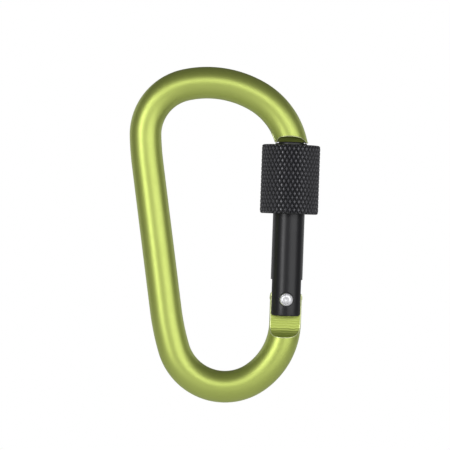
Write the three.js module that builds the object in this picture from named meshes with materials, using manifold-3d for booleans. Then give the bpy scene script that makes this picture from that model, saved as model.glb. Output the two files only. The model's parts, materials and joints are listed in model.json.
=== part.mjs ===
// A D-shaped screw-lock carabiner for keys, in millimetres.
// +Z is up along the closed gate, +X points from the spine to the gate and the front face looks along -Y.
// Pieces are drawn about the hinge pin's axis, and the whole is then moved so that the
// origin is the inside of the crown, where the bar hangs on a loop or a hook.
import * as THREE from "three";
import { mergeVertices } from "three/addons/utils/BufferGeometryUtils.js";
import Module from "manifold-3d";

const wasm = await Module();
wasm.setup();

// ---- Driving dimensions ----

// Bar and loop. The bends are listed from the hinge, round the spine, to the nose.
const BAR_RADIUS = 3.8;
const HINGE_STRAIGHT = 5.7;
const NOSE_END = 37.65;
const LOWER_BENDS = [
  { radius: 16.6, sweep: 53.3 },
  { radius: 12.8, sweep: 108.6 },
  { radius: 60.5, sweep: 9.0 },
];
const SHOULDER_BENDS = [
  { radius: 68.8, sweep: 5.6 },
  { radius: 12.2, sweep: 78.9 },
];
const CROWN_SWEEP = 43.2;
const NOSE_BEND = { radius: 17.3, sweep: 46.3 };

// Milled ends of the bar.
const TANG_HALF = 1.35;
const MILL_RADIUS = 3.4;
const NOSE_MILL_BELOW_END = 1.9;
const POCKET_HALF = 0.9;
const POCKET_DEPTH = 1.95;
const NOSE_LIP = 1.9;

// Hinge pin and the cam that the plunger rides on.
const PIN_RADIUS = 1.2;
const PIN_HEAD_RADIUS = 1.6;
const PIN_HEAD_PROUD = 0.25;
const PIN_HEAD_SEAT = 0.45;
const CAM_LOW = 3.1;
const CAM_RATE = 1.2;
const CAM_LEAD = 12;

// Gate tube.
const GATE_RADIUS = 3.8;
const BORE_RADIUS = 2.1;
const BORE_LENGTH = 14.8;
const DRILL_POINT = 1.2;
const FORK_HEADROOM = 0.9;
const FORK_BELOW_PIN = 4.0;
const BLADE_HALF = 0.65;
const BLADE_INSIDE = 3.0;
const LIP_HEIGHT = 0.3;
const EDGE = 0.25;

// Locking sleeve and its thread.
const SLEEVE_RADIUS = 7.0;
const SLEEVE_LENGTH = 16.5;
const SLEEVE_CHAMFER = 0.5;
const SLEEVE_LIP = 1.2;
const SLEEVE_RISE = 1.9;
const SLEEVE_GAP = 0.7;
const MOUTH_CLEARANCE = 1.5;
const MOUTH_DEPTH = 2.3;
const THREAD_PITCH = 1.0;
const THREAD_TURNS = 8;
const THREAD_HEIGHT = 0.42;

// Spring and plunger.
const WIRE_RADIUS = 0.28;
const SPRING_TURNS = 9;
const COLLAR_LENGTH = 1.2;
const COLLAR_LIFT = 0.7;
const GUIDE_LENGTH = 2.4;
const PLUNGER_TIP = 1.0;

// Clearances.
const SLIDING = 0.2;
const RUNNING = 0.12;
const SEAT = 0.3;
const FORK_SWEEP = 0.38;

// Facets.
const BAR_SIDES = 28;
const BAR_STEPS = 76;
const WIRE_SIDES = 6;
const WIRE_STEPS_PER_TURN = 12;

// ---- Derived sizes, as heights above the hinge pin ----

const degrees = THREE.MathUtils.degToRad;
const GATE_TOP = NOSE_END - SEAT;
const SLEEVE_TOP = NOSE_END - SLEEVE_GAP;
const NOSE_MILL = NOSE_END - NOSE_MILL_BELOW_END;
const POCKET_TOP = NOSE_END + POCKET_DEPTH;
// The nose flares with the milled curve, and this is its half thickness at the gate's lips.
const LIP_CLIMB = GATE_TOP + LIP_HEIGHT - NOSE_MILL;
const NOSE_PLATE_HALF = TANG_HALF + MILL_RADIUS - Math.sqrt(MILL_RADIUS ** 2 - LIP_CLIMB ** 2);
const FORK_HALF = TANG_HALF + SLIDING;
const FORK_ABOVE_PIN = BAR_RADIUS + FORK_HEADROOM;
// The tang stays flat past the circle that the fork's corners swing through.
const TANG_FLAT_BELOW_PIN = Math.hypot(GATE_RADIUS, FORK_BELOW_PIN) + FORK_SWEEP;
const BORE_TOP = FORK_ABOVE_PIN + BORE_LENGTH;
const BORE_SHOULDER = BORE_TOP - DRILL_POINT;
const SLEEVE_BOTTOM = SLEEVE_TOP - SLEEVE_LENGTH;
const THREAD_BOTTOM = SLEEVE_BOTTOM + SLEEVE_LIP + SLEEVE_RISE;
const THREAD_RADIUS = GATE_RADIUS + THREAD_HEIGHT;
const SLEEVE_BORE = THREAD_RADIUS + SLIDING;
const MOUTH_RADIUS = BAR_RADIUS + MOUTH_CLEARANCE;
const TIP_BOTTOM = CAM_LOW + RUNNING;
const COLLAR_BOTTOM = FORK_ABOVE_PIN + COLLAR_LIFT;
const COLLAR_TOP = COLLAR_BOTTOM + COLLAR_LENGTH;
const SPRING_RADIUS = BORE_RADIUS - SLIDING - WIRE_RADIUS;
const BEYOND = 3 * SLEEVE_RADIUS;

// ---- Solids ----

function solidOf(geometry) {
  geometry.deleteAttribute("normal");
  geometry.deleteAttribute("uv");
  const merged = mergeVertices(geometry, 1e-4);
  const mesh = new wasm.Mesh({
    numProp: 3,
    vertProperties: merged.attributes.position.array,
    triVerts: new Uint32Array(merged.index.array),
  });
  return new wasm.Manifold(mesh);
}

function geometryOf(solid) {
  const mesh = solid.getMesh();
  const geometry = new THREE.BufferGeometry();
  geometry.setAttribute("position", new THREE.BufferAttribute(mesh.vertProperties, 3));
  geometry.setIndex(new THREE.BufferAttribute(mesh.triVerts, 1));
  geometry.computeVertexNormals();
  return geometry;
}

// A block between two corners.
function block(low, high) {
  const size = new THREE.Vector3().subVectors(high, low);
  const geometry = new THREE.BoxGeometry(size.x, size.y, size.z);
  geometry.translate(low.x + size.x / 2, low.y + size.y / 2, low.z + size.z / 2);
  return solidOf(geometry);
}

const at = (x, y, z) => new THREE.Vector3(x, y, z);

// A turned solid about Z. Its outline is a list of [radius, height], walked upwards on the outside.
function turnedAboutZ(outline, segments) {
  const points = outline.map(([radius, height]) => new THREE.Vector2(radius, height));
  const geometry = new THREE.LatheGeometry(points, segments);
  geometry.rotateX(Math.PI / 2);
  return geometry;
}

// A turned solid about Y, centred on the hinge pin.
function turnedAboutY(outline, segments) {
  const points = outline.map(([radius, height]) => new THREE.Vector2(radius, height));
  return new THREE.LatheGeometry(points, segments);
}

// ---- The loop's centre line ----

// The vector from an arc's start to its end for a radius of one, turning clockwise.
function unitChord(heading, sweep) {
  const end = heading - sweep;
  return new THREE.Vector2(Math.sin(heading) - Math.sin(end), Math.cos(end) - Math.cos(heading));
}

// The straight spine's length and the crown's radius are whatever brings the nose over the gate:
// with every heading known, both enter the nose's position linearly.
function loopSegments() {
  const known = new THREE.Vector2(0, -HINGE_STRAIGHT);
  const segments = [];
  let heading = -Math.PI / 2;
  const bend = ({ radius, sweep }) => {
    const chord = unitChord(heading, degrees(sweep));
    known.addScaledVector(chord, radius);
    segments.push({ heading, radius, sweep: degrees(sweep) });
    heading -= degrees(sweep);
  };
  LOWER_BENDS.forEach(bend);
  const spine = { heading, length: 0 };
  segments.push(spine);
  SHOULDER_BENDS.forEach(bend);
  const crown = { heading, radius: 0, sweep: degrees(CROWN_SWEEP) };
  segments.push(crown);
  const across = unitChord(heading, crown.sweep);
  heading -= crown.sweep;
  bend(NOSE_BEND);
  const along = new THREE.Vector2(Math.cos(spine.heading), Math.sin(spine.heading));
  const left = new THREE.Vector2(0, NOSE_END).sub(known);
  const determinant = along.cross(across);
  spine.length = left.cross(across) / determinant;
  crown.radius = along.cross(left) / determinant;
  return { segments, crown, noseHeading: heading };
}

const loop = loopSegments();

// The centre line as one curve, by arc length, with straight ends past the pin and the nose.
class LoopCurve extends THREE.Curve {
  constructor() {
    super();
    const tangEnd = { heading: -Math.PI / 2, length: HINGE_STRAIGHT + 2 * BAR_RADIUS };
    const noseEnd = { heading: loop.noseHeading, length: BAR_RADIUS };
    this.pieces = [tangEnd, ...loop.segments, noseEnd];
    let place = new THREE.Vector2(0, 2 * BAR_RADIUS);
    for (const piece of this.pieces) {
      piece.run = piece.length ?? piece.radius * piece.sweep;
      piece.start = place;
      place = this.along(piece, piece.run);
    }
    this.total = this.pieces.reduce((sum, piece) => sum + piece.run, 0);
  }

  along(piece, distance) {
    if (piece.length !== undefined) {
      const ahead = new THREE.Vector2(Math.cos(piece.heading), Math.sin(piece.heading));
      return piece.start.clone().addScaledVector(ahead, distance);
    }
    const chord = unitChord(piece.heading, distance / piece.radius);
    return piece.start.clone().addScaledVector(chord, piece.radius);
  }

  getPoint(t, target = new THREE.Vector3()) {
    let distance = t * this.total;
    let index = 0;
    while (index < this.pieces.length - 1 && distance > this.pieces[index].run) {
      distance -= this.pieces[index].run;
      index += 1;
    }
    const place = this.along(this.pieces[index], distance);
    return target.set(place.x, 0, place.y);
  }
}

// The highest point of the centre line is straight above the crown's centre.
function crownCentre(curve) {
  const { start, heading, radius } = curve.pieces.find((piece) => piece === loop.crown);
  return new THREE.Vector2(start.x + radius * Math.sin(heading), start.y - radius * Math.cos(heading));
}

// ---- The bar ----

// A cutter's section in Y and Z, swept along X: a flat face at the tang's thickness,
// run out by the round edge of the milling cutter. Direction is -1 where it runs out downwards.
function millCutter(runOutAt, openEnd, direction) {
  const shape = new THREE.Shape();
  const centre = TANG_HALF + MILL_RADIUS;
  shape.moveTo(TANG_HALF, openEnd);
  shape.lineTo(TANG_HALF, runOutAt);
  shape.absarc(centre, runOutAt, MILL_RADIUS, Math.PI, Math.PI - direction * (Math.PI / 2), direction > 0);
  shape.lineTo(BEYOND, runOutAt + direction * MILL_RADIUS);
  shape.lineTo(BEYOND, openEnd);
  const geometry = new THREE.ExtrudeGeometry(shape, {
    depth: 4 * BAR_RADIUS,
    bevelEnabled: false,
    curveSegments: 10,
  });
  geometry.translate(0, 0, -2 * BAR_RADIUS);
  // The section's first axis becomes Y, its second Z, and its depth X.
  geometry.applyMatrix4(new THREE.Matrix4().makeBasis(at(0, 1, 0), at(0, 0, 1), at(1, 0, 0)));
  return solidOf(geometry);
}

// Both faces are milled alike, so the cutter is used on the front and, turned over, on the back.
function milled(bar, cutter) {
  return bar.subtract(cutter).subtract(cutter.rotate([0, 0, 180]));
}

// The tang's rounded end. Its radius grows evenly towards the spine, which pushes the plunger back.
function camRadius(angle) {
  const lead = degrees(CAM_LEAD);
  if (angle >= -lead) return Math.min(CAM_LOW + CAM_RATE * Math.max(angle, 0), BAR_RADIUS);
  const share = (-lead - angle) / (Math.PI / 2 - lead);
  return THREE.MathUtils.lerp(CAM_LOW, BAR_RADIUS, Math.sin((share * Math.PI) / 2));
}

function tangEndTrim() {
  const shape = new THREE.Shape();
  const steps = 48;
  shape.moveTo(BAR_RADIUS, -BAR_RADIUS);
  for (let step = 0; step <= steps; step += 1) {
    const angle = -Math.PI / 2 + (Math.PI * step) / steps;
    const radius = camRadius(angle);
    shape.lineTo(-radius * Math.sin(angle), radius * Math.cos(angle));
  }
  shape.lineTo(-BAR_RADIUS, -BAR_RADIUS);
  const kept = new THREE.ExtrudeGeometry(shape, { depth: 4 * BAR_RADIUS, bevelEnabled: false });
  kept.translate(0, 0, -2 * BAR_RADIUS);
  kept.applyMatrix4(new THREE.Matrix4().makeBasis(at(1, 0, 0), at(0, 0, 1), at(0, -1, 0)));
  const reach = 1.5 * BAR_RADIUS;
  const above = block(at(-reach, -reach, 0), at(reach, reach, 3 * BAR_RADIUS));
  return above.subtract(solidOf(kept));
}

function frameBar(curve) {
  const section = new THREE.Shape();
  section.absarc(0, 0, BAR_RADIUS, 0, 2 * Math.PI);
  const sweep = { extrudePath: curve, steps: BAR_STEPS, curveSegments: BAR_SIDES / 2 };
  const bar = new THREE.ExtrudeGeometry(section, sweep);
  const pinHole = turnedAboutY(
    [
      [0, -BEYOND],
      [PIN_RADIUS + RUNNING, -BEYOND],
      [PIN_RADIUS + RUNNING, BEYOND],
      [0, BEYOND],
    ],
    32,
  );
  const side = 2.4 * BAR_RADIUS;
  const belowNose = block(at(-side, -side, NOSE_END - side), at(side, side, NOSE_END));
  const lipInner = BAR_RADIUS - NOSE_LIP;
  const pocket = block(at(-side, -POCKET_HALF, NOSE_END - 1), at(lipInner, POCKET_HALF, POCKET_TOP));
  let solid = solidOf(bar);
  solid = milled(solid, millCutter(-TANG_FLAT_BELOW_PIN, 3 * BAR_RADIUS, -1));
  solid = milled(solid, millCutter(NOSE_MILL, NOSE_MILL - 3 * BAR_RADIUS, 1));
  solid = solid.subtract(tangEndTrim()).subtract(solidOf(pinHole));
  return geometryOf(solid.subtract(belowNose).subtract(pocket));
}

// ---- The gate ----

function threadOutline() {
  const outline = [];
  for (let turn = 0; turn < THREAD_TURNS; turn += 1) {
    const height = THREAD_BOTTOM + turn * THREAD_PITCH;
    outline.push([GATE_RADIUS, height]);
    outline.push([THREAD_RADIUS, height + 0.4 * THREAD_PITCH]);
    outline.push([THREAD_RADIUS, height + 0.6 * THREAD_PITCH]);
  }
  outline.push([GATE_RADIUS, THREAD_BOTTOM + THREAD_TURNS * THREAD_PITCH]);
  return outline;
}

function gateTube() {
  const top = GATE_TOP + LIP_HEIGHT;
  const tube = turnedAboutZ(
    [
      [0, BORE_TOP],
      [BORE_RADIUS, BORE_SHOULDER],
      [BORE_RADIUS, -FORK_BELOW_PIN],
      [GATE_RADIUS - EDGE, -FORK_BELOW_PIN],
      [GATE_RADIUS, -FORK_BELOW_PIN + EDGE],
      ...threadOutline(),
      [GATE_RADIUS, top - EDGE],
      [GATE_RADIUS - EDGE, top],
      [0, top],
    ],
    48,
  );
  const fork = block(at(-BEYOND, -FORK_HALF, -BEYOND), at(BEYOND, FORK_HALF, FORK_ABOVE_PIN));
  const noseSlot = NOSE_PLATE_HALF + SEAT;
  const slot = block(at(-BEYOND, -noseSlot, GATE_TOP), at(BEYOND, noseSlot, GATE_TOP + BEYOND));
  const bladeEdge = BAR_RADIUS - NOSE_LIP - SEAT;
  const bladeLow = at(-BLADE_INSIDE, -BLADE_HALF, GATE_TOP - 1);
  const blade = block(bladeLow, at(bladeEdge, BLADE_HALF, POCKET_TOP - SEAT));
  const pinBore = turnedAboutY(
    [
      [0, -BEYOND],
      [PIN_HEAD_RADIUS + RUNNING, -BEYOND],
      [PIN_HEAD_RADIUS + RUNNING, -GATE_RADIUS + PIN_HEAD_SEAT],
      [PIN_RADIUS + RUNNING, -GATE_RADIUS + PIN_HEAD_SEAT],
      [PIN_RADIUS + RUNNING, GATE_RADIUS - PIN_HEAD_SEAT],
      [PIN_HEAD_RADIUS + RUNNING, GATE_RADIUS - PIN_HEAD_SEAT],
      [PIN_HEAD_RADIUS + RUNNING, BEYOND],
      [0, BEYOND],
    ],
    32,
  );
  const solid = solidOf(tube).subtract(fork).subtract(slot).add(blade);
  return geometryOf(solid.subtract(solidOf(pinBore)));
}

// The rivet is fixed in the gate's fork and turns in the tang.
function hingeRivet() {
  const seat = GATE_RADIUS - PIN_HEAD_SEAT + RUNNING;
  const crown = GATE_RADIUS + PIN_HEAD_PROUD;
  return turnedAboutY(
    [
      [0, -crown],
      [PIN_HEAD_RADIUS - EDGE, -crown],
      [PIN_HEAD_RADIUS, -crown + EDGE],
      [PIN_HEAD_RADIUS, -seat],
      [PIN_RADIUS, -seat],
      [PIN_RADIUS, seat],
      [PIN_HEAD_RADIUS, seat],
      [PIN_HEAD_RADIUS, crown - EDGE],
      [PIN_HEAD_RADIUS - EDGE, crown],
      [0, crown],
    ],
    32,
  );
}

// ---- The locking sleeve ----

function lockingSleeve() {
  const mouthStep = SLEEVE_TOP - MOUTH_DEPTH;
  const lipRadius = GATE_RADIUS + SLIDING;
  const lipTop = SLEEVE_BOTTOM + SLEEVE_LIP;
  return turnedAboutZ(
    [
      [lipRadius, SLEEVE_BOTTOM],
      [SLEEVE_RADIUS - SLEEVE_CHAMFER, SLEEVE_BOTTOM],
      [SLEEVE_RADIUS, SLEEVE_BOTTOM + SLEEVE_CHAMFER],
      [SLEEVE_RADIUS, SLEEVE_TOP - SLEEVE_CHAMFER],
      [SLEEVE_RADIUS - SLEEVE_CHAMFER, SLEEVE_TOP],
      [MOUTH_RADIUS, SLEEVE_TOP],
      [MOUTH_RADIUS, mouthStep],
      [SLEEVE_BORE, mouthStep],
      [SLEEVE_BORE, lipTop],
      [lipRadius, lipTop],
      [lipRadius, SLEEVE_BOTTOM],
    ],
    64,
  );
}

// ---- The spring and its plunger ----

function springPlunger() {
  const outline = [];
  const steps = 6;
  for (let step = 0; step <= steps; step += 1) {
    const angle = (Math.PI / 2) * (step / steps);
    outline.push([PLUNGER_TIP * Math.sin(angle), TIP_BOTTOM + PLUNGER_TIP * (1 - Math.cos(angle))]);
  }
  outline[0][0] = 0;
  outline.push(
    [PLUNGER_TIP, COLLAR_BOTTOM],
    [BORE_RADIUS - SLIDING, COLLAR_BOTTOM],
    [BORE_RADIUS - SLIDING, COLLAR_TOP],
    [PLUNGER_TIP, COLLAR_TOP],
    [PLUNGER_TIP, COLLAR_TOP + GUIDE_LENGTH],
    [0, COLLAR_TOP + GUIDE_LENGTH],
  );
  return turnedAboutZ(outline, 24);
}

class SpringCurve extends THREE.Curve {
  getPoint(t, target = new THREE.Vector3()) {
    const bottom = COLLAR_TOP + WIRE_RADIUS + RUNNING;
    const top = BORE_SHOULDER - WIRE_RADIUS;
    const angle = 2 * Math.PI * SPRING_TURNS * t;
    const height = THREE.MathUtils.lerp(bottom, top, t);
    return target.set(SPRING_RADIUS * Math.cos(angle), SPRING_RADIUS * Math.sin(angle), height);
  }
}

function gateSpring() {
  const section = new THREE.Shape();
  section.absarc(0, 0, WIRE_RADIUS, 0, 2 * Math.PI);
  const steps = WIRE_STEPS_PER_TURN * SPRING_TURNS;
  const sweep = { extrudePath: new SpringCurve(), steps, curveSegments: WIRE_SIDES / 2 };
  return new THREE.ExtrudeGeometry(section, sweep);
}

// ---- Assembly ----

function finish(color, roughness, metalness) {
  return new THREE.MeshStandardMaterial({ color, roughness, metalness });
}

function named(name, geometry, material) {
  const mesh = new THREE.Mesh(geometry, material);
  mesh.name = name;
  return mesh;
}

const curve = new LoopCurve();
const carabiner = new THREE.Group();
carabiner.add(
  named("frame_bar", frameBar(curve), finish(0xa9bf4a, 0.35, 0.9)),
  named("gate_tube", gateTube(), finish(0x2a2a2d, 0.4, 0.7)),
  named("hinge_rivet", hingeRivet(), finish(0xc9cacc, 0.3, 1.0)),
  named("locking_sleeve", lockingSleeve(), finish(0x29292c, 0.45, 0.6)),
  named("gate_spring", gateSpring(), finish(0x9a9a9c, 0.3, 1.0)),
  named("spring_plunger", springPlunger(), finish(0x8f9092, 0.35, 1.0)),
);
const crown = crownCentre(curve);
carabiner.position.set(-crown.x, 0, -(crown.y + loop.crown.radius - BAR_RADIUS));

const model = new THREE.Group();
model.add(carabiner);

export default model;
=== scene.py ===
import json
import math

import bpy
from mathutils import Matrix, Vector


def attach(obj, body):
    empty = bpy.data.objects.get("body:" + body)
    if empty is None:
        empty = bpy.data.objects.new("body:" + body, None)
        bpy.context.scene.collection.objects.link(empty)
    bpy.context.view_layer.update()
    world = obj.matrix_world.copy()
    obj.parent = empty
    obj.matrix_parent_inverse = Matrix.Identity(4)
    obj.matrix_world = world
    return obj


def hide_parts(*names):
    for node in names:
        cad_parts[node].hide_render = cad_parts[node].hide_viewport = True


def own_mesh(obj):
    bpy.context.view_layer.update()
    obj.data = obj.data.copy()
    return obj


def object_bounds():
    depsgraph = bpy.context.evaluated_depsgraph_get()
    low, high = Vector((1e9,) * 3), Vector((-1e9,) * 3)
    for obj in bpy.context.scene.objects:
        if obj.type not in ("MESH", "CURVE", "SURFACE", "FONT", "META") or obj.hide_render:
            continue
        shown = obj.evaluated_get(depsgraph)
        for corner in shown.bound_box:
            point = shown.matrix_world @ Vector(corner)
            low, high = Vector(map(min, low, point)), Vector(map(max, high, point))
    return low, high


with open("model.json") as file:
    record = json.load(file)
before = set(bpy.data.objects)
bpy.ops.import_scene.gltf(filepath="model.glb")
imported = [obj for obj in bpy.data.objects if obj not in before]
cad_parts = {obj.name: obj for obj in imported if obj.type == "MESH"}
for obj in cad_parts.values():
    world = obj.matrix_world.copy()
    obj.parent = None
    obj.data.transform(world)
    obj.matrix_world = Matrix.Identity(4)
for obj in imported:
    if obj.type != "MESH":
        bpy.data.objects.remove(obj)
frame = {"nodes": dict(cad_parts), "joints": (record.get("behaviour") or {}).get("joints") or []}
cad_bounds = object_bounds()

MM = 0.001
JOINTS = {joint["name"]: joint for joint in frame["joints"]}
PIN = Vector(JOINTS["gate_swing"]["pos_m"])

# ---- Driving dimensions, the same as the CAD's ----

BAR_RADIUS = 3.8
HINGE_STRAIGHT = 5.7
NOSE_END = 37.65
LOWER_BENDS = ((16.6, 53.3), (12.8, 108.6), (60.5, 9.0))
SHOULDER_BENDS = ((68.8, 5.6), (12.2, 78.9))
CROWN_SWEEP = 43.2
NOSE_BEND = (17.3, 46.3)

TANG_HALF = 1.35
MILL_RADIUS = 3.4
TANG_FLAT_BELOW_PIN = 5.9
NOSE_MILL = NOSE_END - 1.9
POCKET_HALF = 0.9
POCKET_TOP = NOSE_END + 1.95
POCKET_WALL = 1.9

PIN_RADIUS = 1.2
PIN_HEAD_RADIUS = 1.6
PIN_HEAD_PROUD = 0.25
PIN_HEAD_SEAT = 0.45
PIN_CORE = 1.1
PIN_GROOVE = 1.3
PIN_GROOVE_DEPTH = 0.3
CAM_LOW = 3.1
CAM_RATE = 1.2
CAM_LEAD = 12

GATE_RADIUS = 3.8
BORE_RADIUS = 2.1
BORE_TOP = 19.5
DRILL_POINT = 1.2
FORK_HALF = 1.55
FORK_ABOVE_PIN = 4.7
FORK_BELOW_PIN = 4.0
FORK_CORNER = 0.75
GATE_GAP = 0.3
GATE_TOP = NOSE_END - GATE_GAP
LIP_HEIGHT = 0.3
LIP_TOP = GATE_TOP + LIP_HEIGHT
GATE_ROUND = 0.3
NOSE_SLOT_HALF = 2.35
BLADE_HALF = 0.65
BLADE_INSIDE = 3.0
BLADE_OUTSIDE = 1.6

THREAD_HEIGHT = 0.42
THREAD_PITCH = 1.0
THREAD_BOTTOM = 23.55
THREAD_TOP = 31.55
THREAD_STEPS = 10
THREAD_FADE = 0.5

SLEEVE_RADIUS = 7.0
SLEEVE_LENGTH = 16.5
SLEEVE_GAP = 0.7
SLEEVE_TOP = NOSE_END - SLEEVE_GAP
SLEEVE_BOTTOM = SLEEVE_TOP - SLEEVE_LENGTH
SLEEVE_LIP = 1.2
SLEEVE_BORE = 4.42
SLEEVE_ROUND = 0.5
MOUTH_RADIUS = 5.3
MOUTH_DEPTH = 2.3
MOUTH_ROUND = 0.3
LIP_RADIUS = 4.0

KNURL_COUNT = 40
KNURL_ROWS = 17
KNURL_STEPS = 3
KNURL_DEPTH = 0.36
KNURL_FLAT = 0.32
KNURL_END_RINGS = (0.04, 0.12, 0.22)

RUNNING = 0.12
BEYOND = 20.0
BAR_SIDES = 96
BAR_STEP = 0.5
GATE_SIDES = 112
EDGE_BEAD = 0.13
EDGE_BREAK = 0.3

# ---- Finishes ----

GREEN = (0.485, 0.565, 0.145, 1)
GREEN_DEEP = (0.42, 0.50, 0.105, 1)
GREEN_METAL = 0.85
# Pale green of the milled edges' bead, a painted highlight.
PAINTED_HIGHLIGHT_GREEN = (0.80, 0.86, 0.45, 1)
BLACK = (0.012, 0.012, 0.014, 1)
# Painted shade in the knurl's grooves and a painted highlight on its tops.
KNURL_GROOVE_PAINTED_SHADE = (0.003, 0.003, 0.004, 1)
KNURL_TOP_PAINTED_HIGHLIGHT = (0.07, 0.07, 0.078, 1)
RIVET_GREY = (0.74, 0.74, 0.76, 1)
WIRE_GREY = (0.55, 0.55, 0.57, 1)
PLUNGER_GREY = (0.5, 0.5, 0.52, 1)
WHITE = (1, 1, 1, 1)

# ---- Studio and camera, in metres ----

ROOM_LIGHT = 0.12
FLOOR_GREY = (0.92, 0.92, 0.92, 1)
FLOOR_GLOW = 0.16
FLOOR_RADIUS = 0.4
FLOOR_DROP = 0.105
VIEW_WIDTH = 0.108
VIEW_DISTANCE = 0.6
VIEW_SHIFT = Vector((0.0007, 0, 0.0024))
VIEW_ROLL = math.radians(2.0)
SENSOR = 36.0


# ---- Mesh helpers ----


def place(x, y, z):
    """A point in the row frame, from millimetres about the hinge pin."""
    return (PIN.x + x * MM, PIN.y + y * MM, PIN.z + z * MM)


def add_mesh(name, points, faces, material):
    """An object from points in millimetres about the hinge pin."""
    mesh = bpy.data.meshes.new(name)
    mesh.from_pydata([place(*point) for point in points], [], faces)
    mesh.update()
    obj = bpy.data.objects.new(name, mesh)
    bpy.context.scene.collection.objects.link(obj)
    mesh.materials.append(material)
    return obj


def ring_faces(rings, closed_ends=True):
    """Faces over equal rings of point numbers, each ring going round in the same way."""
    faces = []
    for low, high in zip(rings, rings[1:]):
        count = len(low)
        for i in range(count):
            j = (i + 1) % count
            faces.append((low[i], low[j], high[j], high[i]))
    if closed_ends:
        faces.append(tuple(reversed(rings[0])))
        faces.append(tuple(rings[-1]))
    return faces


def extruded(name, outline, half, to_point, material):
    """A prism: an outline in two axes, with the third from -half to half."""
    count = len(outline)
    points = [to_point(a, b, -half) for a, b in outline]
    points += [to_point(a, b, half) for a, b in outline]
    rings = [tuple(range(count)), tuple(range(count, 2 * count))]
    obj = add_mesh(name, points, ring_faces(rings), material)
    outward(obj)
    return obj


def outward(obj):
    """Turns every face's normal outwards."""
    bpy.ops.object.select_all(action="DESELECT")
    bpy.context.view_layer.objects.active = obj
    obj.select_set(True)
    bpy.ops.object.mode_set(mode="EDIT")
    bpy.ops.mesh.select_all(action="SELECT")
    bpy.ops.mesh.normals_make_consistent(inside=False)
    bpy.ops.object.mode_set(mode="OBJECT")


def box(name, low, high, material):
    """A block between its lowest and highest corners."""
    outline = [(low[0], low[1]), (high[0], low[1]), (high[0], high[1]), (low[0], high[1])]
    middle = (low[2] + high[2]) / 2
    half = (high[2] - low[2]) / 2
    return extruded(name, outline, half, lambda a, b, c: (a, b, middle + c), material)


def lathe(name, profile, sides, to_point, material):
    """A turned solid. Its profile is a list of (radius, height), and a radius of 0 is one point."""
    points = []
    rings = []
    for radius, height in profile:
        first = len(points)
        if radius == 0:
            points.append(to_point(0, 0, height))
            rings.append((first,) * sides)
            continue
        for i in range(sides):
            angle = 2 * math.pi * i / sides
            points.append(to_point(radius * math.cos(angle), radius * math.sin(angle), height))
        rings.append(tuple(range(first, first + sides)))
    faces = []
    for face in ring_faces(rings, closed_ends=False):
        kept = []
        for corner in face:
            if corner not in kept:
                kept.append(corner)
        if len(kept) > 2:
            faces.append(tuple(kept))
    return add_mesh(name, points, faces, material)


def along_y(x, z, y):
    """Turns a lathe's axis to run from front to back."""
    return (x, y, z)


def combine(obj, tool, operation="DIFFERENCE"):
    """Cuts the tool from obj, or joins it, and removes the tool."""
    cut = obj.modifiers.new("cut", "BOOLEAN")
    cut.operation = operation
    cut.solver = "EXACT"
    cut.material_mode = "TRANSFER"
    cut.object = tool
    graph = bpy.context.evaluated_depsgraph_get()
    mesh = bpy.data.meshes.new_from_object(obj.evaluated_get(graph))
    obj.modifiers.clear()
    obj.data = mesh
    bpy.data.objects.remove(tool)
    return obj


def shaded(obj, angle=32):
    """Smooth shading, with sharp edges where the faces turn by more than the angle."""
    for face in obj.data.polygons:
        face.use_smooth = True
    obj.data.set_sharp_from_angle(angle=math.radians(angle))
    return obj


def arc(centre, radius, start, end, steps):
    """Points on an arc, with its angles in degrees."""
    points = []
    for i in range(steps + 1):
        angle = math.radians(start + (end - start) * i / steps)
        points.append((centre[0] + radius * math.cos(angle), centre[1] + radius * math.sin(angle)))
    return points


# ---- Materials ----


def new_material(name):
    """A material, its node tree and its shader."""
    material = bpy.data.materials.new(name)
    material.use_nodes = True
    nodes = material.node_tree.nodes
    return material, material.node_tree, nodes["Principled BSDF"]


def edge_normal(tree, radius):
    """A rounded normal at edges, as a light break of the edges leaves."""
    bevel = tree.nodes.new("ShaderNodeBevel")
    bevel.samples = 6
    bevel.inputs["Radius"].default_value = radius * MM
    return bevel.outputs["Normal"]


def grain(tree, scale, stretch, detail=3.0):
    """Noise in the object's own coordinates, stretched along the axes."""
    coords = tree.nodes.new("ShaderNodeTexCoord")
    mapping = tree.nodes.new("ShaderNodeMapping")
    mapping.inputs["Scale"].default_value = stretch
    noise = tree.nodes.new("ShaderNodeTexNoise")
    noise.inputs["Scale"].default_value = scale
    noise.inputs["Detail"].default_value = detail
    tree.links.new(coords.outputs["Object"], mapping.inputs["Vector"])
    tree.links.new(mapping.outputs["Vector"], noise.inputs["Vector"])
    return noise.outputs["Fac"]


def bump(tree, height, strength, distance, normal):
    """Relief of a depth in millimetres, on top of another normal."""
    node = tree.nodes.new("ShaderNodeBump")
    node.inputs["Strength"].default_value = strength
    node.inputs["Distance"].default_value = distance * MM
    tree.links.new(height, node.inputs["Height"])
    tree.links.new(normal, node.inputs["Normal"])
    return node.outputs["Normal"]


def ranged(tree, value, low, high):
    """A value from 0 to 1, spread from low to high."""
    node = tree.nodes.new("ShaderNodeMapRange")
    node.inputs["To Min"].default_value = low
    node.inputs["To Max"].default_value = high
    tree.links.new(value, node.inputs["Value"])
    return node.outputs["Result"]


def ramped(tree, value, first, second):
    """A colour between two, by a value from 0 to 1."""
    node = tree.nodes.new("ShaderNodeValToRGB")
    node.color_ramp.elements[0].color = first
    node.color_ramp.elements[1].color = second
    tree.links.new(value, node.inputs["Fac"])
    return node.outputs["Color"]


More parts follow.
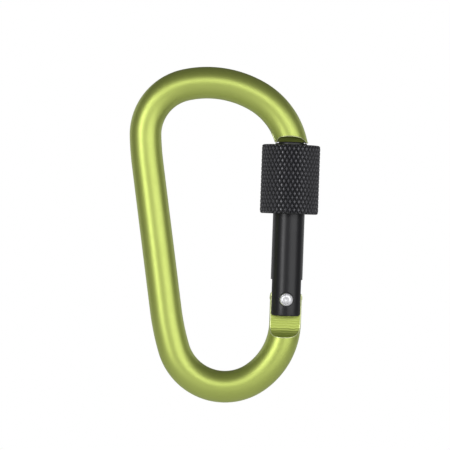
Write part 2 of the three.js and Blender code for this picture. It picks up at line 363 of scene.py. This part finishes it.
def green_anodised():
    """Satin green anodising, a little uneven in colour."""
    material, tree, shader = new_material("green_anodised")
    fine = grain(tree, 900, (1, 1, 1))
    broad = grain(tree, 60, (1, 1, 1), 2.0)
    tree.links.new(ramped(tree, broad, GREEN_DEEP, GREEN), shader.inputs["Base Color"])
    tree.links.new(ranged(tree, fine, 0.39, 0.48), shader.inputs["Roughness"])
    normal = bump(tree, fine, 0.06, 0.02, edge_normal(tree, EDGE_BREAK))
    tree.links.new(normal, shader.inputs["Normal"])
    shader.inputs["Metallic"].default_value = GREEN_METAL
    shader.inputs["Coat Weight"].default_value = 0.22
    shader.inputs["Coat Roughness"].default_value = 0.35
    return material


def green_milled():
    """The milled faces, where the cutter left fine lines across the bar."""
    material, tree, shader = new_material("green_milled")
    coords = tree.nodes.new("ShaderNodeTexCoord")
    lines = tree.nodes.new("ShaderNodeTexWave")
    lines.bands_direction = "Z"
    lines.inputs["Scale"].default_value = 560
    lines.inputs["Distortion"].default_value = 4
    lines.inputs["Detail"].default_value = 2.0
    tree.links.new(coords.outputs["Object"], lines.inputs["Vector"])
    colour = ramped(tree, lines.outputs["Fac"], GREEN_DEEP, GREEN)
    tree.links.new(colour, shader.inputs["Base Color"])
    normal = bump(tree, lines.outputs["Fac"], 0.6, 0.04, edge_normal(tree, EDGE_BREAK))
    tree.links.new(normal, shader.inputs["Normal"])
    shader.inputs["Metallic"].default_value = GREEN_METAL
    shader.inputs["Roughness"].default_value = 0.5
    return material


def painted_highlight_edge():
    """Thin pale green metal for the bead along the milled edges, a painted highlight."""
    material, tree, shader = new_material("painted_highlight_edge")
    fine = grain(tree, 800, (1, 1, 1))
    tree.links.new(ranged(tree, fine, 0.25, 0.35), shader.inputs["Roughness"])
    shader.inputs["Base Color"].default_value = PAINTED_HIGHLIGHT_GREEN
    shader.inputs["Metallic"].default_value = 0.8
    return material


def black_anodised(name, colour, roughness_low, roughness_high, edge):
    """Satin black anodising. Its edge is the radius of the broken edges."""
    material, tree, shader = new_material(name)
    fine = grain(tree, 700, (1, 1, 0.25))
    tree.links.new(ranged(tree, fine, roughness_low, roughness_high), shader.inputs["Roughness"])
    normal = bump(tree, fine, 0.05, 0.02, edge_normal(tree, edge))
    tree.links.new(normal, shader.inputs["Normal"])
    shader.inputs["Base Color"].default_value = colour
    shader.inputs["Metallic"].default_value = 0.2
    shader.inputs["Specular IOR Level"].default_value = 0.45
    return material


def knurled_black():
    """Black anodising, lighter on the knurl's tops than in its grooves: painted shade in the
    grooves and a painted highlight on the tops.
    """
    material = black_anodised("black_knurled", KNURL_GROOVE_PAINTED_SHADE, 0.24, 0.3, 0.05)
    tree = material.node_tree
    coords = tree.nodes.new("ShaderNodeTexCoord")
    offset = tree.nodes.new("ShaderNodeVectorMath")
    offset.operation = "SUBTRACT"
    offset.inputs[1].default_value = PIN
    flat = tree.nodes.new("ShaderNodeVectorMath")
    flat.operation = "MULTIPLY"
    flat.inputs[1].default_value = (1, 1, 0)
    size = tree.nodes.new("ShaderNodeVectorMath")
    size.operation = "LENGTH"
    height = tree.nodes.new("ShaderNodeMapRange")
    height.inputs["From Min"].default_value = (SLEEVE_RADIUS - KNURL_DEPTH) * MM
    height.inputs["From Max"].default_value = (SLEEVE_RADIUS - 0.02) * MM
    tree.links.new(coords.outputs["Object"], offset.inputs[0])
    tree.links.new(offset.outputs["Vector"], flat.inputs[0])
    tree.links.new(flat.outputs["Vector"], size.inputs[0])
    tree.links.new(size.outputs["Value"], height.inputs["Value"])
    # Colour by distance from the sleeve's axis: painted shade in the grooves, painted highlight on
    # the tops.
    painted_shade_to_highlight = ramped(tree, height.outputs["Result"], KNURL_GROOVE_PAINTED_SHADE, KNURL_TOP_PAINTED_HIGHLIGHT)
    tree.links.new(painted_shade_to_highlight, tree.nodes["Principled BSDF"].inputs["Base Color"])
    return material


def bare_steel(name, colour, roughness, edge):
    """Plain steel with a fine grain."""
    material, tree, shader = new_material(name)
    fine = grain(tree, 1500, (1, 1, 1))
    tree.links.new(ranged(tree, fine, roughness, roughness + 0.1), shader.inputs["Roughness"])
    normal = bump(tree, fine, 0.12, 0.02, edge_normal(tree, edge))
    tree.links.new(normal, shader.inputs["Normal"])
    shader.inputs["Base Color"].default_value = colour
    shader.inputs["Metallic"].default_value = 1.0
    return material


# ---- The loop's centre line ----


def chord(heading, sweep):
    """From an arc's start to its end, for a radius of one, turning clockwise."""
    end = heading - sweep
    return Vector((math.sin(heading) - math.sin(end), math.cos(end) - math.cos(heading)))


def loop_pieces():
    """The straights and arcs from above the hinge, round the spine, to past the nose.

    The spine's length and the crown's radius are whatever brings the nose over the gate.
    """
    known = Vector((0, -HINGE_STRAIGHT))
    heading = -math.pi / 2
    pieces = [("straight", heading, 2 * BAR_RADIUS + HINGE_STRAIGHT, 0)]
    for radius, sweep in LOWER_BENDS:
        known += radius * chord(heading, math.radians(sweep))
        pieces.append(("arc", heading, radius, math.radians(sweep)))
        heading -= math.radians(sweep)
    spine_index = len(pieces)
    spine_heading = heading
    for radius, sweep in SHOULDER_BENDS:
        known += radius * chord(heading, math.radians(sweep))
        pieces.append(("arc", heading, radius, math.radians(sweep)))
        heading -= math.radians(sweep)
    crown_heading = heading
    crown_index = len(pieces) + 1
    crown_sweep = math.radians(CROWN_SWEEP)
    across = chord(crown_heading, crown_sweep)
    heading -= crown_sweep
    radius, sweep = NOSE_BEND
    known += radius * chord(heading, math.radians(sweep))
    nose = ("arc", heading, radius, math.radians(sweep))
    heading -= math.radians(sweep)
    along = Vector((math.cos(spine_heading), math.sin(spine_heading)))
    left = Vector((0, NOSE_END)) - known
    size = along.x * across.y - along.y * across.x
    spine = (left.x * across.y - left.y * across.x) / size
    crown = (along.x * left.y - along.y * left.x) / size
    pieces.insert(spine_index, ("straight", spine_heading, spine, 0))
    pieces.insert(crown_index, ("arc", crown_heading, crown, crown_sweep))
    pieces.append(nose)
    pieces.append(("straight", heading, BAR_RADIUS, 0))
    return pieces


def centre_line():
    """Points on the centre line, each with its heading."""
    at = Vector((0, 2 * BAR_RADIUS))
    samples = []
    for kind, heading, size, sweep in loop_pieces():
        run = size if kind == "straight" else size * sweep
        steps = max(2, math.ceil(run / BAR_STEP))
        for i in range(steps):
            share = i / steps
            if kind == "straight":
                ahead = Vector((math.cos(heading), math.sin(heading)))
                samples.append((at + ahead * (run * share), heading))
            else:
                samples.append((at + size * chord(heading, sweep * share), heading - sweep * share))
        if kind == "straight":
            at = at + Vector((math.cos(heading), math.sin(heading))) * run
        else:
            at = at + size * chord(heading, sweep)
        last = heading - sweep
    samples.append((at, last))
    return samples


# ---- The bar ----


def swept_bar(material):
    """The round bar along the loop's centre line, before any machining."""
    points = []
    rings = []
    for centre, heading in centre_line():
        first = len(points)
        for i in range(BAR_SIDES):
            angle = 2 * math.pi * i / BAR_SIDES
            side = BAR_RADIUS * math.cos(angle)
            x = centre.x - math.sin(heading) * side
            z = centre.y + math.cos(heading) * side
            points.append((x, BAR_RADIUS * math.sin(angle), z))
        rings.append(tuple(range(first, first + BAR_SIDES)))
    obj = add_mesh("frame_bar_body", points, ring_faces(rings), material)
    outward(obj)
    return obj


def mill_cutter(run_out, open_end, direction, side, material):
    """A slab cutter with a round edge, as wide as the bar, for one face of an end."""
    centre = TANG_HALF + MILL_RADIUS
    outline = [(side * TANG_HALF, open_end)]
    for a, b in arc((0, 0), MILL_RADIUS, 180, 90, 28):
        outline.append((side * (centre + a), run_out + direction * b))
    outline.append((side * BEYOND, run_out + direction * MILL_RADIUS))
    outline.append((side * BEYOND, open_end))
    half = 2 * BAR_RADIUS
    return extruded("cutter", outline, half, lambda y, z, x: (x, y, z), material)


def cam_radius(angle):
    """The tang's end as a cam about the pin, which lifts the plunger as the gate opens."""
    lead = math.radians(CAM_LEAD)
    if angle >= -lead:
        return min(CAM_LOW + CAM_RATE * max(angle, 0), BAR_RADIUS)
    share = (-lead - angle) / (math.pi / 2 - lead)
    return CAM_LOW + (BAR_RADIUS - CAM_LOW) * math.sin(share * math.pi / 2)


def tang_end_cutter(material):
    """Everything beyond the cam over the pin."""
    outline = []
    steps = 72
    for i in range(steps + 1):
        angle = -math.pi / 2 + math.pi * i / steps
        radius = cam_radius(angle)
        outline.append((-radius * math.sin(angle), radius * math.cos(angle)))
    reach = 1.6 * BAR_RADIUS
    outline += [(-reach, 0), (-reach, 3 * BAR_RADIUS), (reach, 3 * BAR_RADIUS), (reach, 0)]
    return extruded("cutter", outline, reach, lambda x, z, y: (x, y, z), material)


def frame_bar(green, milled):
    """The bent bar, milled to a tang at the hinge and to a step and a pocket at the nose."""
    obj = swept_bar(green)
    for side in (-1, 1):
        combine(obj, mill_cutter(-TANG_FLAT_BELOW_PIN, 3 * BAR_RADIUS, -1, side, milled))
        combine(obj, mill_cutter(NOSE_MILL, NOSE_MILL - 3 * BAR_RADIUS, 1, side, milled))
    combine(obj, tang_end_cutter(milled))
    hole = PIN_RADIUS + RUNNING
    ends = [(0, -BEYOND), (hole, -BEYOND), (hole, BEYOND), (0, BEYOND)]
    pin_hole = lathe("cutter", ends, 64, along_y, milled)
    outward(pin_hole)
    combine(obj, pin_hole)
    side = 2.4 * BAR_RADIUS
    combine(obj, box("cutter", (-side, -side, NOSE_END - side), (side, side, NOSE_END), milled))
    inner = BAR_RADIUS - POCKET_WALL
    low = (-side, -POCKET_HALF, NOSE_END - 1)
    combine(obj, box("cutter", low, (inner, POCKET_HALF, POCKET_TOP), milled))
    return shaded(obj)


def milled_edges(bar, material):
    """A thin round bead along the edges where the cut meets the bar's skin; its round section
    catches real light, and its paler finish is a painted highlight.
    """
    mesh = bar.data
    kinds = {}
    for face in mesh.polygons:
        for key in face.edge_keys:
            kinds.setdefault(key, set()).add(face.material_index)
    edges = [key for key, found in kinds.items() if len(found) > 1]
    used = sorted({point for edge in edges for point in edge})
    number = {point: i for i, point in enumerate(used)}
    lines = bpy.data.meshes.new("milled_edges")
    points = [mesh.vertices[point].co for point in used]
    lines.from_pydata(points, [(number[a], number[b]) for a, b in edges], [])
    obj = bpy.data.objects.new("milled_edges", lines)
    bpy.context.scene.collection.objects.link(obj)
    bpy.ops.object.select_all(action="DESELECT")
    bpy.context.view_layer.objects.active = obj
    obj.select_set(True)
    bpy.ops.object.convert(target="CURVE")
    obj.data.bevel_depth = EDGE_BEAD * MM
    obj.data.bevel_resolution = 2
    bpy.ops.object.convert(target="MESH")
    obj.data.materials.clear()
    obj.data.materials.append(material)
    return shaded(obj, 60)


# ---- The gate ----


def thread_radius(angle, height):
    """The gate's radius at a point on its thread, which fades out at both ends."""
    if not THREAD_BOTTOM < height < THREAD_TOP:
        return GATE_RADIUS
    ends = min(height - THREAD_BOTTOM, THREAD_TOP - height)
    fade = min(1, ends / (THREAD_FADE * THREAD_PITCH))
    phase = (height / THREAD_PITCH - angle / (2 * math.pi)) % 1
    ridge = min(1, max(0, 1.25 - abs(phase - 0.5) * 3.2))
    return GATE_RADIUS + THREAD_HEIGHT * ridge * fade


def gate_body(material):
    """The turned gate with its blind bore and its thread, before the fork is cut."""
    rows = [(0, BORE_TOP), (BORE_RADIUS, BORE_TOP - DRILL_POINT), (BORE_RADIUS, -FORK_BELOW_PIN)]
    low_centre = (GATE_RADIUS - GATE_ROUND, -FORK_BELOW_PIN + GATE_ROUND)
    rows += arc(low_centre, GATE_ROUND, -90, 0, 5)
    heights = [0, 10, 20, THREAD_BOTTOM]
    step = THREAD_PITCH / THREAD_STEPS
    count = round((THREAD_TOP - THREAD_BOTTOM) / step)
    heights += [THREAD_BOTTOM + step * (i + 1) for i in range(count)]
    rows += [(GATE_RADIUS, height) for height in heights]
    top_centre = (GATE_RADIUS - GATE_ROUND, LIP_TOP - GATE_ROUND)
    rows += arc(top_centre, GATE_ROUND, 0, 90, 5)
    rows.append((0, LIP_TOP))

    def to_point(x, y, height):
        radius = math.hypot(x, y)
        if abs(radius - GATE_RADIUS) > 1e-6:
            return (x, y, height)
        grown = thread_radius(math.atan2(y, x), height) / radius
        return (x * grown, y * grown, height)

    obj = lathe("gate_tube_body", rows, GATE_SIDES, to_point, material)
    outward(obj)
    return obj


def corner_cutter(side, material):
    """Rounds a bottom corner of the fork's ears, as seen from the front."""
    ear = math.sqrt(GATE_RADIUS**2 - FORK_HALF**2)
    centre = (ear - FORK_CORNER, -FORK_BELOW_PIN + FORK_CORNER)
    outline = [(side * x, z) for x, z in arc(centre, FORK_CORNER, 0, -90, 10)]
    outline += [(side * centre[0], -2 * FORK_BELOW_PIN), (side * BEYOND, -2 * FORK_BELOW_PIN)]
    outline.append((side * BEYOND, centre[1]))
    return extruded("cutter", outline, 2 * GATE_RADIUS, lambda x, z, y: (x, y, z), material)


def gate_tube(black):
    """The gate with its fork, nose slot, locking blade and pin bore."""
    obj = gate_body(black)
    fork_low = (-BEYOND, -FORK_HALF, -BEYOND)
    combine(obj, box("cutter", fork_low, (BEYOND, FORK_HALF, FORK_ABOVE_PIN), black))
    slot_low = (-BEYOND, -NOSE_SLOT_HALF, GATE_TOP)
    combine(obj, box("cutter", slot_low, (BEYOND, NOSE_SLOT_HALF, GATE_TOP + 5), black))
    for side in (-1, 1):
        combine(obj, corner_cutter(side, black))
    low = (-BLADE_INSIDE, -BLADE_HALF, GATE_TOP - 1)
    blade = box("blade", low, (BLADE_OUTSIDE, BLADE_HALF, POCKET_TOP - 0.3), black)
    combine(obj, blade, "UNION")
    seat = GATE_RADIUS - PIN_HEAD_SEAT
    hole = PIN_RADIUS + RUNNING
    counterbore = PIN_HEAD_RADIUS + RUNNING
    profile = [(0, -BEYOND), (counterbore, -BEYOND), (counterbore, -seat), (hole, -seat)]
    profile += [(hole, seat), (counterbore, seat), (counterbore, BEYOND), (0, BEYOND)]
    pin_bore = lathe("cutter", profile, 64, along_y, black)
    outward(pin_bore)
    combine(obj, pin_bore)
    return shaded(obj)


def hinge_rivet(steel):
    """The pin's core stands in a peened head, with a ring groove round it and a dimple."""
    seat = GATE_RADIUS - PIN_HEAD_SEAT + RUNNING
    crown = GATE_RADIUS + PIN_HEAD_PROUD
    core = PIN_CORE
    groove = PIN_GROOVE
    floor = crown - PIN_GROOVE_DEPTH
    half = [(PIN_RADIUS, seat), (PIN_HEAD_RADIUS, seat), (PIN_HEAD_RADIUS, crown - 0.32)]
    half += [(PIN_HEAD_RADIUS - 0.05, crown - 0.26), (groove + 0.06, crown - 0.08)]
    half += [(groove, floor), (core + 0.06, floor), (core, crown - 0.08)]
    half += [(core - 0.08, crown - 0.03), (0.7, crown), (0.24, crown), (0.16, crown - 0.02)]
    half += [(0, crown - 0.03)]
    profile = [(radius, -height) for radius, height in reversed(half)] + half
    obj = lathe("hinge_rivet_body", profile, 64, along_y, steel)
    outward(obj)
    return shaded(obj, 50)


# ---- The locking sleeve ----


def knurl_radius(across, up):
    """The sleeve's radius on its knurl, where both places count in diamonds.

    Two crossing families of grooves leave diamonds with small flat tops.
    """
    grooves = (across + up, across - up)
    away = max(abs(2 * (groove % 1) - 1) for groove in grooves)
    depth = max(0, away - KNURL_FLAT) / (1 - KNURL_FLAT)
    return SLEEVE_RADIUS - KNURL_DEPTH * depth


def sleeve_ring(radius_at, height):
    """One ring of points, whose radius comes from how far round it is, in diamonds."""
    count = 2 * KNURL_COUNT * KNURL_STEPS
    points = []
    for i in range(count):
        radius = radius_at(i / (2 * KNURL_STEPS))
        angle = 2 * math.pi * i / count
        points.append((radius * math.cos(angle), radius * math.sin(angle), height))
    return points


def plain_rings(outline):
    """Round rings of the sleeve, one for each (radius, height)."""
    return [sleeve_ring(lambda across, size=radius: size, height) for radius, height in outline]


def end_drop(height):
    """How far the sleeve's skin has turned in at a height near either rounded end."""
    inside = min(height - SLEEVE_BOTTOM, SLEEVE_TOP - height)
    if inside >= SLEEVE_ROUND:
        return 0
    return SLEEVE_ROUND - math.sqrt(max(0, SLEEVE_ROUND**2 - (SLEEVE_ROUND - inside) ** 2))


def knurled_ring(up, height):
    """A ring of the knurl at a height, which is also given in diamonds."""
    drop = end_drop(height)
    return sleeve_ring(lambda across: knurl_radius(across, up) - drop, height)


def knurl_heights():
    """Heights of the knurl's rings, with more of them where the ends are rounded."""
    rows = KNURL_ROWS * KNURL_STEPS
    heights = [SLEEVE_LENGTH * row / rows for row in range(rows + 1)]
    heights += KNURL_END_RINGS
    heights += [SLEEVE_LENGTH - height for height in KNURL_END_RINGS]
    return sorted(heights)


def sleeve_rings():
    """Rings of the sleeve's section, up the knurled outside and down the inside."""
    rings = []
    for height in knurl_heights():
        up = height / SLEEVE_LENGTH * KNURL_ROWS / 2
        rings.append(knurled_ring(up, SLEEVE_BOTTOM + height))
    step = SLEEVE_TOP - MOUTH_DEPTH
    lip_centre = (MOUTH_RADIUS + MOUTH_ROUND, SLEEVE_TOP - MOUTH_ROUND)
    inside = arc(lip_centre, MOUTH_ROUND, 90, 180, 4)
    inside += [(MOUTH_RADIUS, step), (SLEEVE_BORE, step)]
    inside += [(SLEEVE_BORE, SLEEVE_BOTTOM + SLEEVE_LIP), (LIP_RADIUS, SLEEVE_BOTTOM + SLEEVE_LIP)]
    inside += [(LIP_RADIUS, SLEEVE_BOTTOM)]
    return rings + plain_rings(inside)


def sleeve_faces(rings):
    """Each cell is two triangles that meet along a groove, where there is one."""
    count = len(rings[0])
    faces = []
    for r in range(len(rings)):
        after = (r + 1) % len(rings)
        for i in range(count):
            j = (i + 1) % count
            corners = (rings[r][i], rings[r][j], rings[after][j], rings[after][i])
            sizes = [math.hypot(x, y) for x, y, _ in corners]
            a, b, c, d = r * count + i, r * count + j, after * count + j, after * count + i
            if abs(sizes[0] - sizes[1]) < 1e-9:
                faces.append((a, b, c, d))
            elif abs(sizes[0] - sizes[2]) < abs(sizes[1] - sizes[3]):
                faces += [(a, b, c), (a, c, d)]
            else:
                faces += [(a, b, d), (b, c, d)]
    return faces


def locking_sleeve(knurled):
    """The knurled sleeve with its bore, its wider mouth and its lower lip."""
    rings = sleeve_rings()
    points = [point for ring in rings for point in ring]
    obj = add_mesh("locking_sleeve_body", points, sleeve_faces(rings), knurled)
    outward(obj)
    return shaded(obj, 24)


# ---- Light, floor and camera ----


def area_light(name, where, aim, width, height, power):
    """A soft box that faces a point. Its power is in watts."""
    data = bpy.data.lights.new(name, "AREA")
    data.shape = "RECTANGLE"
    data.size = width
    data.size_y = height
    data.energy = power
    obj = bpy.data.objects.new(name, data)
    obj.location = where
    away = Vector(where) - Vector(aim)
    obj.rotation_mode = "QUATERNION"
    obj.rotation_quaternion = away.to_track_quat("Z", "Y")
    bpy.context.scene.collection.objects.link(obj)


def studio(centre):
    """Two tall soft boxes and a flat one in front, and fainter ones behind for the other views."""
    x = centre.x
    z = centre.z
    area_light("front_left", (x - 0.45, -0.62, z + 0.10), centre, 0.26, 0.50, 2.45)
    area_light("front_right", (x + 0.50, -0.61, z + 0.10), centre, 0.74, 0.55, 2.8)
    area_light("front_top", (x, -0.70, z + 0.24), centre, 0.50, 0.20, 0.9)
    area_light("back_left", (x - 0.70, 0.70, z + 0.15), centre, 0.80, 0.80, 1.1)
    area_light("back_right", (x + 0.70, 0.70, z + 0.15), centre, 0.80, 0.80, 1.1)


def surroundings():
    """Plain white to look at, and a dim grey room to light the metal."""
    world = bpy.data.worlds.new("studio")
    bpy.context.scene.world = world
    world.use_nodes = True
    tree = world.node_tree
    tree.nodes.clear()
    output = tree.nodes.new("ShaderNodeOutputWorld")
    mix = tree.nodes.new("ShaderNodeMixShader")
    seen = tree.nodes.new("ShaderNodeLightPath")
    white = tree.nodes.new("ShaderNodeBackground")
    white.inputs["Color"].default_value = WHITE
    white.inputs["Strength"].default_value = 1.0
    room = tree.nodes.new("ShaderNodeBackground")
    room.inputs["Color"].default_value = WHITE
    room.inputs["Strength"].default_value = ROOM_LIGHT
    tree.links.new(seen.outputs["Is Camera Ray"], mix.inputs["Fac"])
    tree.links.new(room.outputs["Background"], mix.inputs[1])
    tree.links.new(white.outputs["Background"], mix.inputs[2])
    tree.links.new(mix.outputs["Shader"], output.inputs["Surface"])


def pale_floor(centre):
    """A pale round floor with a faint glow, so low that the part hangs against plain white."""
    material, _, shader = new_material("floor")
    shader.inputs["Base Color"].default_value = FLOOR_GREY
    shader.inputs["Roughness"].default_value = 0.9
    shader.inputs["Emission Color"].default_value = WHITE
    shader.inputs["Emission Strength"].default_value = FLOOR_GLOW
    where = (centre.x, centre.y, centre.z - FLOOR_DROP)
    bpy.ops.mesh.primitive_circle_add(
        vertices=96, radius=FLOOR_RADIUS, fill_type="NGON", location=where
    )
    floor = bpy.context.object
    floor.name = "floor"
    floor.data.materials.append(material)


def camera(centre):
    """A long lens in front, rolled a little, so that the part leans as if it were hung."""
    data = bpy.data.cameras.new("camera")
    data.sensor_width = SENSOR
    data.lens = SENSOR * VIEW_DISTANCE / VIEW_WIDTH
    data.clip_start = 0.01
    obj = bpy.data.objects.new("camera", data)
    bpy.context.scene.collection.objects.link(obj)
    right = Vector((math.cos(VIEW_ROLL), 0, math.sin(VIEW_ROLL)))
    up = Vector((-math.sin(VIEW_ROLL), 0, math.cos(VIEW_ROLL)))
    back = Vector((0, -1, 0))
    turn = Matrix((right, up, back)).transposed().to_4x4()
    target = centre + VIEW_SHIFT
    obj.matrix_world = Matrix.Translation(target + back * VIEW_DISTANCE) @ turn
    bpy.context.scene.camera = obj


# ---- Assembly ----


def dress(obj, node, body):
    """A piece stands for a CAD node, moves with its body and has its finish."""
    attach(obj, body)
    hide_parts(node)


def finish_node(name, material):
    """A CAD node that is shown as it is."""
    node = frame["nodes"][name]
    node.data.materials.clear()
    node.data.materials.append(material)
    shaded(node, 40)


def gate_spring(wire):
    """The coil spring as a mesh of its own."""
    mesh = frame["nodes"]["gate_spring"].data.copy()
    mesh.materials.clear()
    mesh.materials.append(wire)
    obj = bpy.data.objects.new("gate_spring_wire", mesh)
    bpy.context.scene.collection.objects.link(obj)
    return shaded(obj, 40)


def shorten(spring):
    """Gives the spring a mesh of its own; its shape stays as the CAD has it."""
    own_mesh(spring)


def box_centre(bounds):
    """The middle of a box."""
    low, high = bounds
    return (Vector(low) + Vector(high)) / 2


def build():
    """Every visible piece, in its finish and on its body."""
    green = green_anodised()
    milled = green_milled()
    black = black_anodised("black_anodised", BLACK, 0.3, 0.38, 0.12)
    knurled = knurled_black()
    steel = bare_steel("rivet_steel", RIVET_GREY, 0.32, 0.06)
    wire = bare_steel("spring_steel", WIRE_GREY, 0.25, 0.03)
    plunger = bare_steel("plunger_steel", PLUNGER_GREY, 0.3, 0.06)
    bar = frame_bar(green, milled)
    edges = milled_edges(bar, painted_highlight_edge())
    dress(bar, "frame_bar", "frame")
    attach(edges, "frame")
    dress(gate_tube(black), "gate_tube", "gate")
    dress(hinge_rivet(steel), "hinge_rivet", "gate")
    dress(locking_sleeve(knurled), "locking_sleeve", "sleeve")
    spring = gate_spring(wire)
    dress(spring, "gate_spring", "gate")
    shorten(spring)
    finish_node("spring_plunger", plunger)


build()
centre = box_centre(cad_bounds)
studio(centre)
surroundings()
pale_floor(centre)
camera(centre)
bpy.context.scene.view_settings.view_transform = "Standard"
